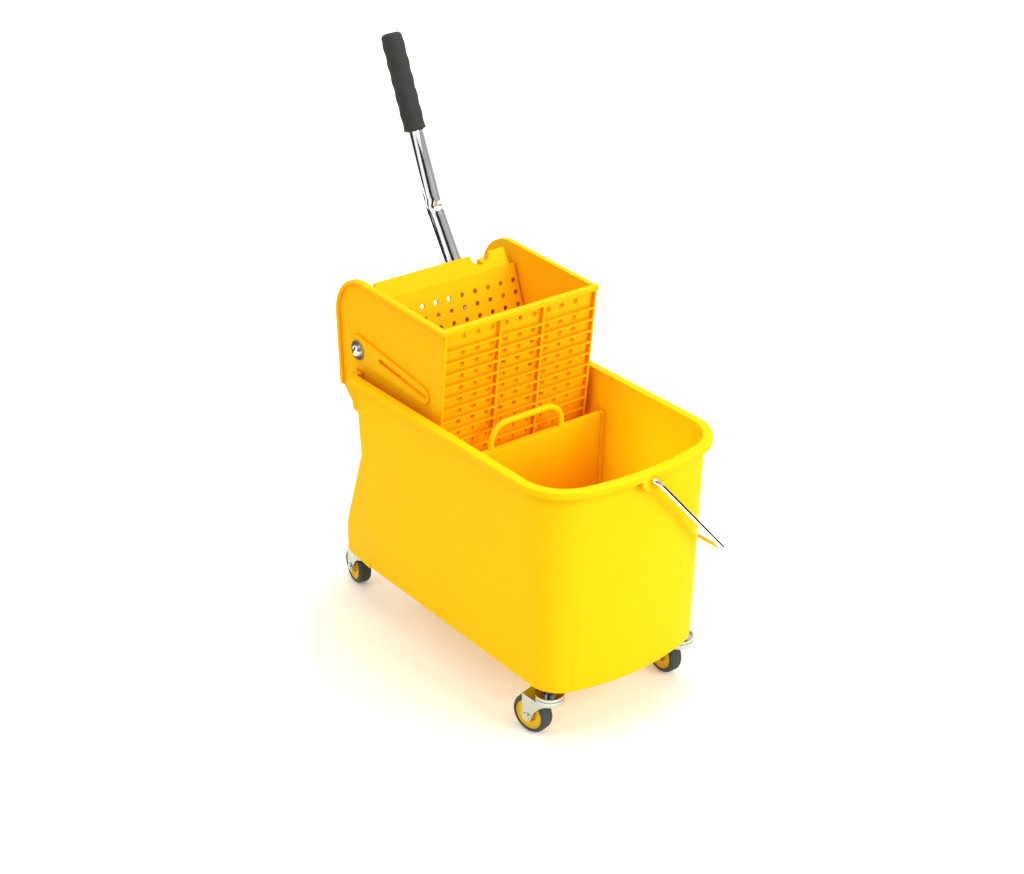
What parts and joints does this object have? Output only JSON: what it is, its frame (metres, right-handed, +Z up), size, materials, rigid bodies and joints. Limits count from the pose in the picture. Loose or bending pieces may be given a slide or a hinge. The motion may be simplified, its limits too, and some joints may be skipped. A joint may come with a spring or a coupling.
{
  "type": "mop bucket with wringer",
  "caption": "Rolling mop bucket with a bowed front, a drop-in divider, a wire bail and a lever wringer whose perforated plate presses the mop against a ribbed wall.",
  "frame": {"origin": "on the floor, midway between the four caster stems", "axes": "+X towards the bowed front end, +Y towards the left side where the bail hangs, +Z up"},
  "size_m": [0.6142, 0.27, 0.7126],
  "materials": {
    "tub_yellow": "gloss",
    "wringer_yellow": "gloss",
    "chrome": "polished",
    "shaft_steel": "satin",
    "grip_rubber": "matte",
    "tyre_rubber": "matte",
    "hub_yellow": "gloss"
  },
  "bodies": {
    "bucket": {"tub": "tub_yellow", "front_right_stem": "chrome", "front_left_stem": "chrome", "rear_right_stem": "chrome", "rear_left_stem": "chrome"},
    "divider": {"divider": "tub_yellow"},
    "wringer": {"wringer_body": "wringer_yellow", "pivot_bolts": "chrome", "pivot_washers": "chrome", "pivot_nuts": "chrome"},
    "press": {"press_plate": "wringer_yellow"},
    "lever": {"lever_shaft": "shaft_steel", "drive_pins": "shaft_steel", "lever_tube": "chrome", "lever_grip": "grip_rubber", "clamp_screw": "shaft_steel"},
    "bail": {"bail": "chrome"},
    "front_right_caster": {"front_right_fork": "chrome", "front_right_axle": "chrome"},
    "front_right_wheel": {"front_right_hub": "hub_yellow", "front_right_tyre": "tyre_rubber"},
    "front_left_caster": {"front_left_fork": "chrome", "front_left_axle": "chrome"},
    "front_left_wheel": {"front_left_hub": "hub_yellow", "front_left_tyre": "tyre_rubber"},
    "rear_right_caster": {"rear_right_fork": "chrome", "rear_right_axle": "chrome"},
    "rear_right_wheel": {"rear_right_hub": "hub_yellow", "rear_right_tyre": "tyre_rubber"},
    "rear_left_caster": {"rear_left_fork": "chrome", "rear_left_axle": "chrome"},
    "rear_left_wheel": {"rear_left_hub": "hub_yellow", "rear_left_tyre": "tyre_rubber"}
  },
  "joints": [
    {"name": "wringer_lift", "type": "slide", "parent": "bucket", "child": "wringer", "axis": [0, 0, 1], "range_m": [0, 0.3]},
    {"name": "lever_pull", "type": "hinge", "parent": "wringer", "child": "lever", "pos_m": [-0.1605, 0, 0.3753], "axis": [0, 1, 0], "range_deg": [0, 70]},
    {"name": "press_slide", "type": "slide", "parent": "wringer", "child": "press", "axis": [0.9924, 0, -0.1227], "range_m": [0, 0.0565]},
    {"name": "divider_lift", "type": "slide", "parent": "bucket", "child": "divider", "axis": [0, 0, 1], "range_m": [0, 0.22]},
    {"name": "bail_pivot", "type": "hinge", "parent": "bucket", "child": "bail", "pos_m": [0, 0, 0.3369], "axis": [1, 0, 0], "range_deg": [0, 20]},
    {"name": "front_right_swivel", "type": "hinge", "parent": "bucket", "child": "front_right_caster", "pos_m": [0.2055, -0.1015, 0.06], "axis": [0, 0, 1], "continuous": true},
    {"name": "front_right_roll", "type": "hinge", "parent": "front_right_caster", "child": "front_right_wheel", "pos_m": [0.18114, -0.10712, 0.025], "axis": [-0.225, 0.9744, 0], "continuous": true},
    {"name": "front_left_swivel", "type": "hinge", "parent": "bucket", "child": "front_left_caster", "pos_m": [0.2055, 0.1015, 0.06], "axis": [0, 0, 1], "continuous": true},
    {"name": "front_left_roll", "type": "hinge", "parent": "front_left_caster", "child": "front_left_wheel", "pos_m": [0.1805, 0.1015, 0.025], "axis": [0, 1, 0], "continuous": true},
    {"name": "rear_right_swivel", "type": "hinge", "parent": "bucket", "child": "rear_right_caster", "pos_m": [-0.2055, -0.0875, 0.06], "axis": [0, 0, 1], "continuous": true},
    {"name": "rear_right_roll", "type": "hinge", "parent": "rear_right_caster", "child": "rear_right_wheel", "pos_m": [-0.23019, -0.08359, 0.025], "axis": [0.1564, 0.9877, 0], "continuous": true},
    {"name": "rear_left_swivel", "type": "hinge", "parent": "bucket", "child": "rear_left_caster", "pos_m": [-0.2055, 0.0875, 0.06], "axis": [0, 0, 1], "continuous": true},
    {"name": "rear_left_roll", "type": "hinge", "parent": "rear_left_caster", "child": "rear_left_wheel", "pos_m": [-0.22965, 0.08103, 0.025], "axis": [-0.2588, 0.9659, 0], "continuous": true}
  ],
  "couplings": [
    {"joint": "press_slide", "follows": "lever_pull", "m_per_rad": 0.046235}
  ]
}
